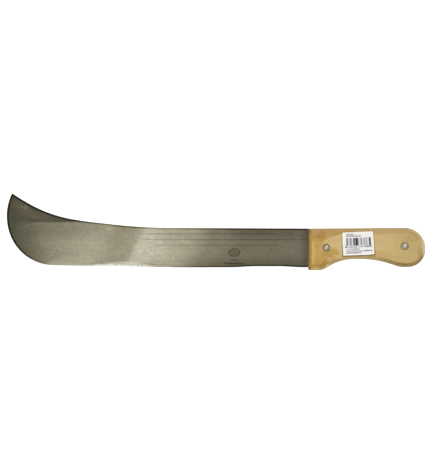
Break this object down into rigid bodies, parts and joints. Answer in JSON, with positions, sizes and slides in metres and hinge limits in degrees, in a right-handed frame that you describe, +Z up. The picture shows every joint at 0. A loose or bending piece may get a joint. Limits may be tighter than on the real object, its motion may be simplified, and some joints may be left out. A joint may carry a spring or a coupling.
{
  "type": "machete",
  "caption": "Machete with an upswept, round-bellied blade, grooves along its sides, and wooden grip scales riveted through a full tang.",
  "frame": {"origin": "midway between the two rivets, on the flat outer face of the lower grip scale, which is the surface the handle rests on", "axes": "+X along the tool towards the butt of the handle, +Y across it towards the spine, +Z up through its thickness towards the labelled scale"},
  "size_m": [0.4939, 0.091, 0.0222],
  "materials": {
    "blade_steel": "rolled sheet, rubbed along its length, lightly oiled and unevenly darkened",
    "grip_wood": "pale sanded wood with a thin satin lacquer, golden at the front",
    "rivet_metal": "peened heads, bright and slightly uneven",
    "washer_steel": "dull plated",
    "label_paper": "matt white paper"
  },
  "bodies": {
    "root": {"blade": "blade_steel", "grip_scale_upper": "grip_wood", "grip_scale_lower": "grip_wood", "rivet_front": "rivet_metal", "rivet_rear": "rivet_metal", "washer_front_upper": "washer_steel", "washer_front_lower": "washer_steel", "washer_rear_upper": "washer_steel", "washer_rear_lower": "washer_steel", "paper_label": "label_paper"}
  },
  "joints": []
}
